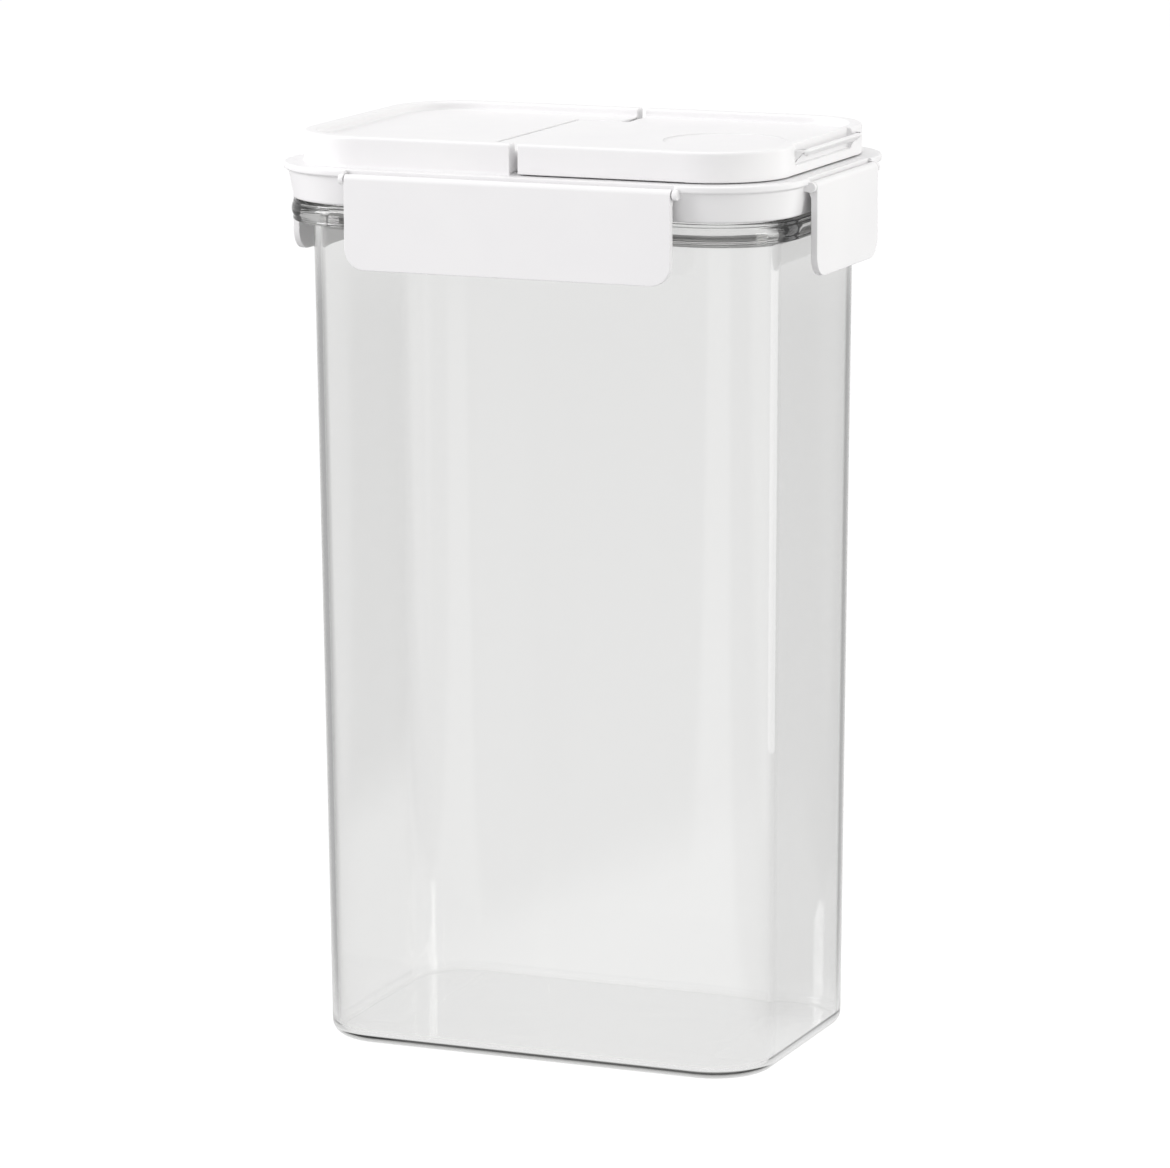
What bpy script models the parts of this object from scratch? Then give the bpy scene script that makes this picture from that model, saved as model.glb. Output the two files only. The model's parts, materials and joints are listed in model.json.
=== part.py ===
"""Tall pantry dispenser: a clear box, a lid held by four latches, and a flip-up pour cap.

Units are metres. +Z is up, +X runs along the long side and the front is -Y. The origin is
the centre of the underside. The moulded pieces are kept a thin gap apart.
"""
import math

import bmesh
import bpy
from mathutils import Matrix, Vector

# ---- driving dimensions -------------------------------------------------------------------
GAP = 0.0003                     # air between two neighbouring pieces
CORNER_STEPS = 6                 # facets in a quarter turn of a plan corner
ROUND_STEPS = 16                 # facets round a pin or a barrel
SMOOTH_ANGLE = 32.0              # degrees: sharper edges are shaded as edges

BODY_LENGTH = (0.1593, 0.1638)   # outside, at the base and at BODY_TOP: the box widens upwards
BODY_DEPTH = (0.1015, 0.1060)
BODY_TOP = 0.270
BODY_CORNER = 0.0213
BODY_WALL = 0.0020
BASE_THICKNESS = 0.0030
BASE_FILLET = 0.0045

BEAD_REACH = 0.00725             # how far the bead stands out from the box wall
BEAD_BOTTOM = 0.2785
BEAD_TOP = 0.2853
BEAD_TURN = 80                   # the bead's roll runs this many degrees up and down
BEAD_ROOT = 0.0008               # the wall starts to swell this far under the bead
BEAD_INSIDE = 0.0010             # the inside starts to widen this far above the bead's bottom
NECK_REACH = 0.0040              # neck outside, out from the box wall
NECK_TOP = 0.2938
NECK_EDGE = 0.0005

SKIRT_BOTTOM = (0.1764, 0.1198, 0.0274, 0.2860)    # length, depth, corner radius, height
SKIRT_TOP = (0.1790, 0.1236, 0.0286, 0.2956)
LIP = (0.1818, 0.1270, 0.0300)                     # length, depth, corner radius
LIP_BOTTOM = 0.2962
DECK_TOP = 0.2980
DECK_UNDER = 0.2960
LID_WALL = 0.0018
LIP_ROUND = 0.0006

TIER = (0.1698, 0.1143, 0.0256)  # the raised upper half of the lid: length, depth, corner
TIER_TOP = 0.3083
TIER_ROUND = 0.0007
TIER_FILLET = 0.0009
PAN_FLOOR = 0.3055
PAN_UNDER = 0.3037
RIM_WIDTH = 0.0047
SPLIT = (-0.0021, 0.0007)        # where the fixed half ends and where the cap begins, in X

TONGUE_END = -0.0170             # the cap's hinge tongue reaches over the fixed half
TONGUE_HALF = 0.0365
TONGUE_GAP = 0.0014
CAP_AXIS = Vector((-0.0120, 0.0, 0.3020))
CAP_SEAM = 0.2983                # underside of the closed cap's wall
KNUCKLE_RADIUS = 0.0030
KNUCKLE_INNER = 0.0220
KNUCKLE_WEB_HALF = 0.0027
CAP_PIN_RADIUS = 0.0010
WELL_RIGHT = -0.0040
WELL_BOTTOM = 0.2940

THUMB_DISH = (0.0500, 0.0200, 0.0004)              # centre in X, radius, depth
PULL_HALF = 0.0275               # the pull lip at the cap's free end
PULL_TOP = 0.3067
PULL_TIP = 0.0894
PULL_FOOT = 0.0858
SLOT_HALF = 0.0260
SLOT = (0.0832, 0.0874, 0.3015)  # from X, to X, floor height

SPOUT = (0.0600, 0.0800, 0.0160) # pour opening: length, depth, corner radius
SPOUT_CENTRE = 0.0460
SPOUT_WALL = 0.0016
SPOUT_TOP = 0.2998

LINER_PLATE = (0.2920, 0.2936)
LINER_CLEARANCE = 0.0008
GASKET_OUTER = (0.1736, 0.1168, 0.0262)
GASKET_INNER = (0.1645, 0.1067, 0.0212)
GASKET_HEIGHTS = (0.2941, 0.2957)

CAP_LINER = (0.0710, 0.1000, 0.0180)
CAP_LINER_HEIGHTS = (0.3019, 0.3034)
CAP_PLUG_BOTTOM = 0.3003
CAP_SEAL_HEIGHTS = (0.3001, 0.3016)
CAP_SEAL_MARGIN = 0.0010

BARREL_RADIUS = 0.00175          # rolled top edge of a latch
PIN_RADIUS = 0.0008
PIN_AXIS_HEIGHT = 0.29515
LATCH_THICKNESS = 0.0023
LATCH_BOTTOM = 0.2657
LATCH_CORNER = 0.0070
LUG_WIDTH = 0.0018
LUG_SKIN = 0.0006                # an ear's outer side is closed by this much plastic
LUG_WEB_BOTTOM = 0.2939
HOOK_TOP = 0.2784
HOOK_HEIGHT = 0.0034
HOOK_FLAT = (0.0005, 0.0017)     # the rib's flat tip, from and to, under its top
HOOK_INSET = 0.0080              # the hook rib stops short of the latch's sides
LATCHES = {                      # width, distance of the pin from the middle, turn in degrees
    "front": (0.1146, 0.06405, 0.0),
    "right": (0.0570, 0.09165, 90.0),
    "back": (0.1146, 0.06405, 180.0),
    "left": (0.0570, 0.09165, 270.0),
}

BEYOND = 0.0200                  # how far a cutter runs past what it cuts
UNDER_LID = 0.2800               # height from which cutters rise through the lid
OVER_LID = 0.3200                # height up to which cutters run
ASIDE = 1.0000                   # half size of a block that trims everything on one side

# ---- materials: colour, roughness, metallic, alpha ------------------------------------------
FINISHES = {
    "clear_body": ((0.90, 0.91, 0.92), 0.05, 0.0, 0.30),
    "white_shell": ((0.86, 0.86, 0.86), 0.35, 0.0, 1.0),
    "inner_white": ((0.80, 0.80, 0.79), 0.45, 0.0, 1.0),
    "seal_silicone": ((0.74, 0.75, 0.74), 0.60, 0.0, 1.0),
    "pin_steel": ((0.62, 0.62, 0.62), 0.30, 1.0, 1.0),
}


def finish(name):
    """Return the named material, made on first use."""
    if name in bpy.data.materials:
        return bpy.data.materials[name]
    colour, roughness, metallic, alpha = FINISHES[name]
    material = bpy.data.materials.new(name)
    material.use_nodes = True
    shader = material.node_tree.nodes["Principled BSDF"]
    shader.inputs["Base Color"].default_value = (*colour, 1.0)
    shader.inputs["Roughness"].default_value = roughness
    shader.inputs["Metallic"].default_value = metallic
    shader.inputs["Alpha"].default_value = alpha
    return material


# ---- shape helpers ------------------------------------------------------------------------
def to_object(name, bm, material=None):
    """Turn a bmesh into an object with outward faces, shaded smooth over its round parts."""
    bmesh.ops.recalc_face_normals(bm, faces=bm.faces)
    mesh = bpy.data.meshes.new(name)
    bm.to_mesh(mesh)
    bm.free()
    mesh.shade_smooth()
    mesh.set_sharp_from_angle(angle=math.radians(SMOOTH_ANGLE))
    thing = bpy.data.objects.new(name, mesh)
    bpy.context.collection.objects.link(thing)
    if material:
        mesh.materials.append(finish(material))
    return thing


def rounded(length, depth, radius, centre_x=0.0):
    """Return a rectangle with round corners, anticlockwise, as (x, y) pairs."""
    points = []
    for side_x, side_y, start in ((1, 1, 0), (-1, 1, 90), (-1, -1, 180), (1, -1, 270)):
        for step in range(CORNER_STEPS + 1):
            angle = math.radians(start + 90 * step / CORNER_STEPS)
            x = centre_x + side_x * (length / 2 - radius) + radius * math.cos(angle)
            y = side_y * (depth / 2 - radius) + radius * math.sin(angle)
            points.append((x, y))
    return points


def grown(plan, amount):
    """Offset a (length, depth, corner radius) plan outwards by amount."""
    length, depth, radius = plan
    return (length + 2 * amount, depth + 2 * amount, radius + amount)


def skin(bm, lower, upper):
    """Join two equal loops of vertices with a band of quads."""
    for index, corner in enumerate(lower):
        bm.faces.new((lower[index - 1], corner, upper[index], upper[index - 1]))


def loft(name, rings, material=None):
    """Skin a stack of equal outlines, given as (points, height), and cap both ends."""
    bm = bmesh.new()
    loops = [[bm.verts.new((x, y, height)) for x, y in points] for points, height in rings]
    for lower, upper in zip(loops, loops[1:]):
        skin(bm, lower, upper)
    bm.faces.new(loops[0])
    bm.faces.new(loops[-1])
    return to_object(name, bm, material)


def slab(name, plan, low, high, centre_x=0.0, material=None):
    """Make a straight block on a rounded plan between two heights."""
    points = rounded(*plan, centre_x)
    return loft(name, [(points, low), (points, high)], material)


def box(name, low, high, material=None):
    """Make a square block between two corners."""
    low, high = Vector(low), Vector(high)
    size = high - low
    matrix = Matrix.Translation((low + high) / 2) @ Matrix.Diagonal((*size, 1.0))
    bm = bmesh.new()
    bmesh.ops.create_cube(bm, size=1.0, matrix=matrix)
    return to_object(name, bm, material)


def extruded(name, outline, reach, material=None):
    """Push a flat outline of (x, y, z) corners along a vector and close both ends."""
    bm = bmesh.new()
    face = bm.faces.new([bm.verts.new(corner) for corner in outline])
    pushed = bmesh.ops.extrude_face_region(bm, geom=[face])["geom"]
    verts = [item for item in pushed if isinstance(item, bmesh.types.BMVert)]
    bmesh.ops.translate(bm, verts=verts, vec=reach)
    return to_object(name, bm, material)


def rod(name, radius, start, end, material=None):
    """Make a round bar between two points."""
    start, end = Vector(start), Vector(end)
    along = end - start
    turn = along.to_track_quat("Z", "Y").to_matrix().to_4x4()
    bm = bmesh.new()
    bmesh.ops.create_cone(
        bm, cap_ends=True, segments=ROUND_STEPS, radius1=radius, radius2=radius,
        depth=along.length, matrix=Matrix.Translation((start + end) / 2) @ turn)
    return to_object(name, bm, material)


def combine(target, tool, operation):
    """Cut a tool from a target, or fuse it on. The tool stays as a wire guide."""
    modifier = target.modifiers.new(tool.name, "BOOLEAN")
    modifier.operation = operation
    modifier.solver = "EXACT"
    modifier.object = tool
    tool.hide_render = True
    tool.display_type = "WIRE"


def cut(target, *tools):
    """Take tools away from a target, in order."""
    for tool in tools:
        combine(target, tool, "DIFFERENCE")


def fuse(target, *tools):
    """Join tools to a target, in order."""
    for tool in tools:
        combine(target, tool, "UNION")


def guides_of(target):
    """Return the tools that a target's modifiers use."""
    return [modifier.object for modifier in target.modifiers if modifier.type == "BOOLEAN"]


def hang_on(empty, *things):
    """Parent pieces and their tools to an empty, without moving them in space."""
    for thing in things:
        for item in [thing, *guides_of(thing)]:
            item.data.transform(Matrix.Translation(-empty.location))
            item.parent = empty


def pivot(name, location):
    """Make the empty that marks a joint's axis."""
    empty = bpy.data.objects.new(name, None)
    empty.location = location
    empty.empty_display_size = 0.01
    bpy.context.collection.objects.link(empty)
    return empty


# ---- the clear box --------------------------------------------------------------------------
def body_plan(reach, height):
    """Outline of the box wall at a height, moved out by reach."""
    part = height / BODY_TOP
    length = BODY_LENGTH[0] + (BODY_LENGTH[1] - BODY_LENGTH[0]) * part
    depth = BODY_DEPTH[0] + (BODY_DEPTH[1] - BODY_DEPTH[0]) * part
    return grown((length, depth, BODY_CORNER), reach)


def fillet(centre_reach, centre_height, radius, start, end, steps):
    """Points of an arc in the wall's section, as (reach, height) pairs."""
    arc = []
    for step in range(steps + 1):
        angle = math.radians(start + (end - start) * step / steps)
        arc.append((centre_reach + radius * math.cos(angle),
                    centre_height + radius * math.sin(angle)))
    return arc


def make_container():
    """One moulding: floor, drafted wall, bead for the latches, and the neck above it."""
    bead_middle = (BEAD_BOTTOM + BEAD_TOP) / 2
    bead_round = (BEAD_TOP - BEAD_BOTTOM) / 2
    neck_inner = NECK_REACH - BODY_WALL
    inner_round = BASE_FILLET - BODY_WALL
    outside = fillet(-BASE_FILLET, BASE_FILLET, BASE_FILLET, 270, 360, 4)
    bead = fillet(BEAD_REACH - bead_round, bead_middle, bead_round, -BEAD_TURN, BEAD_TURN, 6)
    neck = [
        (NECK_REACH, BEAD_TOP), (NECK_REACH, NECK_TOP - NECK_EDGE),
        (NECK_REACH - NECK_EDGE, NECK_TOP), (neck_inner + NECK_EDGE, NECK_TOP),
        (neck_inner, NECK_TOP - NECK_EDGE), (neck_inner, BEAD_TOP),
    ]
    inside = [(-BODY_WALL, BEAD_BOTTOM + BEAD_INSIDE)]
    floor = fillet(-BODY_WALL - inner_round, BASE_THICKNESS + inner_round, inner_round, 0, -90, 4)
    section = outside + [(0.0, BEAD_BOTTOM - BEAD_ROOT)] + bead + neck + inside + floor
    rings = [(rounded(*body_plan(reach, height)), height) for reach, height in section]
    return loft("container_body", rings, "clear_body")


# ---- the lid --------------------------------------------------------------------------------
def latch_matrix(side):
    """Place of a latch's own frame: origin on its pin, outwards along its -Y."""
    _, distance, turn = LATCHES[side]
    rotation = Matrix.Rotation(math.radians(turn), 4, "Z")
    return rotation @ Matrix.Translation((0.0, -distance, PIN_AXIS_HEIGHT))


def put(thing, side):
    """Stand a piece that was modelled in a latch's own frame where that latch is."""
    matrix = latch_matrix(side)
    thing.location = matrix.to_translation()
    thing.rotation_euler = matrix.to_euler()
    return thing


def lid_shell():
    """The skirt, the lip and the flat deck: an upside-down tray."""
    inner_bottom = rounded(*grown(SKIRT_BOTTOM[:3], -LID_WALL))
    inner_top = rounded(*grown(SKIRT_TOP[:3], -LID_WALL))
    lip_edge = rounded(*LIP)
    lip_inset = rounded(*grown(LIP, -LIP_ROUND))
    rings = [
        (inner_top, DECK_UNDER), (inner_bottom, SKIRT_BOTTOM[3]),
        (rounded(*SKIRT_BOTTOM[:3]), SKIRT_BOTTOM[3]), (rounded(*SKIRT_TOP[:3]), SKIRT_TOP[3]),
        (lip_inset, LIP_BOTTOM - LIP_ROUND), (lip_edge, LIP_BOTTOM),
        (lip_edge, DECK_TOP - LIP_ROUND), (lip_inset, DECK_TOP),
    ]
    return loft("lid_frame", rings, "white_shell")


def tier_block(name, low, foot):
    """The raised upper half's outside, from a low height up, with a softened top edge."""
    rings = [
        (rounded(*grown(TIER, foot)), low), (rounded(*TIER), low + max(foot, GAP)),
        (rounded(*TIER), TIER_TOP - TIER_ROUND), (rounded(*grown(TIER, -TIER_ROUND)), TIER_TOP),
    ]
    return loft(name, rings)


def trim(name, start, end):
    """A block that takes away everything between two X positions."""
    low, high = sorted((start, end))
    return box(name, (low, -ASIDE, 0), (high, ASIDE, OVER_LID))


def lug_tools(side):
    """The ears at both ends of a latch, with the bores and the notch that clears the latch."""
    width, distance, _ = LATCHES[side]
    skirt_half = (SKIRT_TOP[1] if side in ("front", "back") else SKIRT_TOP[0]) / 2
    inward = distance - skirt_half + LID_WALL / 2
    web_low = LUG_WEB_BOTTOM - PIN_AXIS_HEIGHT
    web_high = (LIP_BOTTOM + DECK_TOP) / 2 - PIN_AXIS_HEIGHT
    inner, outer = width / 2 + GAP, width / 2 + GAP + LUG_WIDTH
    ears = []
    for end, sign in (("a", -1), ("b", 1)):
        name = f"guide_{side}_{end}"
        low, high = sorted((sign * inner, sign * outer))
        ears.append(rod(name + "_ear", BARREL_RADIUS, (low, 0, 0), (high, 0, 0)))
        ears.append(box(name + "_web", (low, 0.0, web_low), (high, inward, web_high)))
    notch_depth = BARREL_RADIUS + GAP
    notch = box(f"guide_{side}_notch", (-inner, -BEYOND, web_low), (inner, notch_depth, BEYOND))
    bore_end = outer - LUG_SKIN + GAP
    bore = rod(f"guide_{side}_bore", PIN_RADIUS + GAP, (-bore_end, 0, 0), (bore_end, 0, 0))
    return [put(ear, side) for ear in ears], put(notch, side), put(bore, side)


def make_lid_frame():
    """Skirt, lip, deck and the fixed left half of the raised top, as one moulding."""
    frame = lid_shell()
    tier = tier_block("guide_tier", DECK_TOP - GAP, TIER_FILLET)
    cut(tier, trim("guide_tier_trim", SPLIT[0], ASIDE))
    hollow = slab("guide_tier_hollow", grown(TIER, -LID_WALL), UNDER_LID, PAN_UNDER)
    cut(hollow, trim("guide_hollow_trim", SPLIT[0] - LID_WALL, ASIDE))
    cheek = TONGUE_HALF + TONGUE_GAP
    well_left = TONGUE_END - TONGUE_GAP
    well_wall = box(
        "guide_well_wall", (well_left - LID_WALL, -cheek - LID_WALL, WELL_BOTTOM),
        (WELL_RIGHT + LID_WALL, cheek + LID_WALL, DECK_TOP - GAP))
    cheek_block = box(
        "guide_cheek_block", (well_left - LID_WALL, -cheek - LID_WALL, WELL_BOTTOM),
        (SPLIT[0], cheek + LID_WALL, PAN_FLOOR - GAP))
    well = box("guide_well", (well_left, -cheek, UNDER_LID), (WELL_RIGHT, cheek, OVER_LID))
    passage = box("guide_passage", (WELL_RIGHT - GAP, -cheek, DECK_TOP), (BEYOND, cheek, OVER_LID))
    pan = slab("guide_pan", grown(TIER, -RIM_WIDTH), PAN_FLOOR, OVER_LID)
    spout_hole = grown(SPOUT, SPOUT_WALL + GAP)
    spout = slab("guide_spout_hole", spout_hole, UNDER_LID, OVER_LID, SPOUT_CENTRE)
    bore_reach = Vector((0, cheek + 2 * LID_WALL, 0))
    pin_bore = rod("guide_cap_pin_bore", CAP_PIN_RADIUS + GAP,
                   CAP_AXIS - bore_reach, CAP_AXIS + bore_reach)
    fuse(frame, tier)
    cut(frame, hollow)
    fuse(frame, cheek_block, well_wall)
    cut(frame, well, passage, pan, spout, pin_bore)
    for side in LATCHES:
        ears, notch, bore = lug_tools(side)
        cut(frame, notch)
        fuse(frame, *ears)
        cut(frame, bore)
    return frame


def make_lid_liner():
    """Inner plate that closes the lid from below, with the pour spout rising through the deck."""
    neck = body_plan(NECK_REACH - BODY_WALL, NECK_TOP)
    plate = slab("lid_liner", grown(neck, -LINER_CLEARANCE), *LINER_PLATE, material="inner_white")
    low, high = LINER_PLATE
    wall_outer = grown(GASKET_INNER, -GAP)
    wall = slab("guide_liner_wall", wall_outer, low + GAP, GASKET_HEIGHTS[1])
    room = slab("guide_liner_room", grown(wall_outer, -SPOUT_WALL), high, OVER_LID)
    collar = slab("guide_spout_collar", grown(SPOUT, SPOUT_WALL), low + GAP, SPOUT_TOP, SPOUT_CENTRE)
    mouth = slab("guide_spout_mouth", SPOUT, UNDER_LID, OVER_LID, SPOUT_CENTRE)
    fuse(plate, wall)
    cut(plate, room)
    fuse(plate, collar)
    cut(plate, mouth)
    return plate


def ring(name, outer, inner, heights, centre_x=0.0):
    """A flat ring between two plans, built in one skin."""
    low, high = heights
    outside, inside = rounded(*outer, centre_x), rounded(*inner, centre_x)
    bm = bmesh.new()
    loops = []
    for points, height in ((outside, low), (outside, high), (inside, high), (inside, low)):
        loops.append([bm.verts.new((x, y, height)) for x, y in points])
    for first, second in zip(loops, loops[1:] + loops[:1]):
        skin(bm, first, second)
    return to_object(name, bm, "seal_silicone")


# ---- the flip-up cap ------------------------------------------------------------------------
def make_flip_cap():
    """The right half of the raised top: a shallow pan with a hinge tongue and a pull lip."""
    cap = tier_block("flip_cap", CAP_SEAM, 0.0)
    cap.data.materials.append(finish("white_shell"))
    cut(cap, trim("guide_cap_trim", -ASIDE, SPLIT[1]))
    hollow = slab("guide_cap_hollow", grown(TIER, -LID_WALL), UNDER_LID, PAN_UNDER)
    cut(hollow, trim("guide_cap_hollow_trim", -ASIDE, SPLIT[1] + LID_WALL))
    tongue = box("guide_tongue", (TONGUE_END, -TONGUE_HALF, PAN_UNDER),
                 (SPLIT[1] + LID_WALL / 2, TONGUE_HALF, PAN_FLOOR))
    doorway = box("guide_doorway", (-BEYOND, -TONGUE_HALF, UNDER_LID),
                  (SPLIT[1] + 2 * LID_WALL, TONGUE_HALF, PAN_UNDER))
    pan = slab("guide_cap_pan", grown(TIER, -RIM_WIDTH), PAN_FLOOR, OVER_LID)
    slot = box("guide_pull_slot", (SLOT[0], -SLOT_HALF, SLOT[2]), (SLOT[1], SLOT_HALF, OVER_LID))
    bore_reach = Vector((0, TONGUE_HALF + LID_WALL, 0))
    bore = rod("guide_knuckle_bore", CAP_PIN_RADIUS + GAP,
               CAP_AXIS - bore_reach, CAP_AXIS + bore_reach)
    cut(cap, hollow)
    fuse(cap, tongue)
    cut(cap, doorway, pan)
    fuse(cap, pull_lip(), *knuckles())
    cut(cap, slot, thumb_dish(), bore)
    return cap


def knuckles():
    """Two barrels under the tongue, each with a web up into the plate."""
    tools = []
    for end, sign in (("front", -1), ("back", 1)):
        low, high = sorted((sign * KNUCKLE_INNER, sign * (TONGUE_HALF - GAP)))
        tools.append(rod(f"guide_knuckle_{end}", KNUCKLE_RADIUS,
                         CAP_AXIS + Vector((0, low, 0)), CAP_AXIS + Vector((0, high, 0))))
        tools.append(box(
            f"guide_knuckle_web_{end}",
            (CAP_AXIS.x - KNUCKLE_WEB_HALF, low, CAP_AXIS.z),
            (CAP_AXIS.x + KNUCKLE_WEB_HALF, high, (PAN_UNDER + PAN_FLOOR) / 2)))
    return tools


def pull_lip():
    """The flared lip at the free end that a finger lifts: wide at the top, flush at its foot."""
    root = TIER[0] / 2 - LID_WALL / 2
    profile = [
        (root, CAP_SEAM + LID_WALL), (PULL_FOOT, CAP_SEAM + LID_WALL),
        (PULL_TIP, PULL_TOP - LID_WALL / 2), (PULL_TIP, PULL_TOP), (root, PULL_TOP),
    ]
    outline = [(x, -PULL_HALF, z) for x, z in profile]
    return extruded("guide_pull_lip", outline, (0, 2 * PULL_HALF, 0))


def thumb_dish():
    """A shallow round dish in the cap's floor, as a cutter."""
    centre, radius, depth = THUMB_DISH
    bm = bmesh.new()
    bmesh.ops.create_cone(
        bm, cap_ends=True, segments=2 * ROUND_STEPS, radius1=radius, radius2=radius,
        depth=BEYOND, matrix=Matrix.Translation((centre, 0, PAN_FLOOR - depth + BEYOND / 2)))
    return to_object("guide_thumb_dish", bm)


def make_cap_liner():
    """Plate under the cap that carries the seal, with a boss that locates it."""
    plate = slab("flip_cap_liner", CAP_LINER, *CAP_LINER_HEIGHTS, SPOUT_CENTRE, "inner_white")
    boss_plan = grown(SPOUT, -CAP_SEAL_MARGIN - GAP)
    middle = sum(CAP_LINER_HEIGHTS) / 2
    fuse(plate, slab("guide_cap_boss", boss_plan, CAP_PLUG_BOTTOM, middle, SPOUT_CENTRE))
    return plate


def make_cap_pin():
    """The round bar the cap turns on, held in both cheeks of the hinge well."""
    half = Vector((0, TONGUE_HALF + TONGUE_GAP + LID_WALL - GAP / 2, 0))
    rod("flip_cap_pin", CAP_PIN_RADIUS, CAP_AXIS - half, CAP_AXIS + half, "pin_steel")


# ---- the latches ----------------------------------------------------------------------------
def latch_plate(name, width):
    """The flap: square at the pin, with round lower corners, extruded to its thickness."""
    low = LATCH_BOTTOM - PIN_AXIS_HEIGHT
    outline = [(width / 2, 0.0), (-width / 2, 0.0)]
    for sign, start in ((-1, 180), (1, 270)):
        for step in range(CORNER_STEPS + 1):
            angle = math.radians(start + 90 * step / CORNER_STEPS)
            outline.append((sign * (width / 2 - LATCH_CORNER) + LATCH_CORNER * math.cos(angle),
                            low + LATCH_CORNER + LATCH_CORNER * math.sin(angle)))
    corners = [(x, -BARREL_RADIUS, z) for x, z in outline]
    return extruded(name, corners, (0, LATCH_THICKNESS, 0), "white_shell")


def hook_rib(side, width, reach):
    """Rib across the latch's inner face that sits just outside the bead, with a lead-in."""
    inner_face = LATCH_THICKNESS - BARREL_RADIUS
    top = HOOK_TOP - PIN_AXIS_HEIGHT
    profile = [(inner_face - GAP, top), (reach, top - HOOK_FLAT[0]),
               (reach, top - HOOK_FLAT[1]), (inner_face - GAP, top - HOOK_HEIGHT)]
    half = width / 2 - HOOK_INSET
    outline = [(-half, y, z) for y, z in profile]
    return extruded(f"guide_hook_{side}", outline, (2 * half, 0, 0))


def make_latch(side):
    """A latch and its pin, both with their origin on the pin's axis."""
    width, distance, _ = LATCHES[side]
    bead = grown(body_plan(0.0, BEAD_TOP), BEAD_REACH)
    bead_half = (bead[1] if side in ("front", "back") else bead[0]) / 2
    latch = latch_plate(f"latch_{side}", width)
    half = width / 2
    barrel = rod(f"guide_barrel_{side}", BARREL_RADIUS, (-half, 0, 0), (half, 0, 0))
    hook = hook_rib(side, width, distance - bead_half - GAP)
    bore = rod(f"guide_latch_bore_{side}", PIN_RADIUS + GAP,
               (-half - BEYOND, 0, 0), (half + BEYOND, 0, 0))
    fuse(latch, barrel, hook)
    cut(latch, bore)
    end = half + GAP + LUG_WIDTH - LUG_SKIN
    pin = rod(f"latch_pin_{side}", PIN_RADIUS, (-end, 0, 0), (end, 0, 0), "pin_steel")
    for thing in (latch, barrel, hook, bore, pin):
        put(thing, side)


# ---- assembly -------------------------------------------------------------------------------
def main():
    """Clear the file and build every piece."""
    for thing in list(bpy.data.objects):
        bpy.data.objects.remove(thing, do_unlink=True)
    make_container()
    make_lid_frame()
    make_lid_liner()
    ring("lid_gasket", GASKET_OUTER, GASKET_INNER, GASKET_HEIGHTS)
    cap = make_flip_cap()
    cap_liner = make_cap_liner()
    cap_seal = ring("flip_cap_seal", grown(SPOUT, SPOUT_WALL + CAP_SEAL_MARGIN),
                    grown(SPOUT, -CAP_SEAL_MARGIN), CAP_SEAL_HEIGHTS, SPOUT_CENTRE)
    make_cap_pin()
    hang_on(pivot("cap_axis", CAP_AXIS), cap, cap_liner, cap_seal)
    for side in LATCHES:
        make_latch(side)


main()
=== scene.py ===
# %% [markdown]
# # A latched pantry box with a flip-up pour cap
# This lesson dresses a working model of a tall clear box for dry food. The working model,
# called the frame, already holds every hinge and every size. Blender adds the fine moulded
# shapes and the finishes, and never moves a part of the frame.

# %% Load the frame
import json
import math

import bmesh
import bpy
from mathutils import Matrix, Vector


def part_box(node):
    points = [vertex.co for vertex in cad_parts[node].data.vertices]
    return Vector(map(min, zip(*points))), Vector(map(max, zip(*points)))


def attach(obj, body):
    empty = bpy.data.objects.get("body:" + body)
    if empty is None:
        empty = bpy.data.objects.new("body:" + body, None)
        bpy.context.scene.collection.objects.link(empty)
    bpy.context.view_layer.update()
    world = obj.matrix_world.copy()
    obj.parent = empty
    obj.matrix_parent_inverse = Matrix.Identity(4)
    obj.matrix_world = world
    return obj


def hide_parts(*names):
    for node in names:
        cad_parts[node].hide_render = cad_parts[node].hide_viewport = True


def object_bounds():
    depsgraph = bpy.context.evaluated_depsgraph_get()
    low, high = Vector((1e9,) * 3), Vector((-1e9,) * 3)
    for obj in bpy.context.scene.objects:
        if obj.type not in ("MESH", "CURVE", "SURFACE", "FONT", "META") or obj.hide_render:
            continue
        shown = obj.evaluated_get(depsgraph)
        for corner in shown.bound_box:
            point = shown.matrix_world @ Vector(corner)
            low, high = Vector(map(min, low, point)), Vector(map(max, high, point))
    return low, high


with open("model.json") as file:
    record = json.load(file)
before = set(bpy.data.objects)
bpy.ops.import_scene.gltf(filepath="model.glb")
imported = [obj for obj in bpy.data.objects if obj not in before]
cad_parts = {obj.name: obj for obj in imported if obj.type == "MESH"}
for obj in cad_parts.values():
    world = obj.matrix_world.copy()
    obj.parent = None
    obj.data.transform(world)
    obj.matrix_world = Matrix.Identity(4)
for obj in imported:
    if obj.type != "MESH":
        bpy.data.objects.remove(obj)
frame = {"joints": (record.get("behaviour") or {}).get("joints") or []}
cad_low, cad_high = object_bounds()
print("frame size in mm:", [round(1000 * side, 1) for side in cad_high - cad_low])

# %% [markdown]
# ## One shape under everything
# Almost every piece of this box is a rectangle with round corners that has been pushed up in
# steps, as a moulder's tool is cut. It could be drawn as a curve and lofted, but extruding a
# flat sheet step by step keeps every step an even offset of the last. Two extra cuts near
# each round corner hold the flat sides flat when the faces are shaded smooth.

# %% Round-cornered sheets and stacks
CORNER_SEGMENTS = 14
HOLD = 0.0016                    # a holding cut this far into the straight sides
MERGE = 0.000002                 # closer points than this are one point


def grown(plan, amount):
    """Offset a (length, depth, corner radius) plan outwards."""
    length, depth, radius = plan
    return (length + 2 * amount, depth + 2 * amount, radius + amount)


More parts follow.
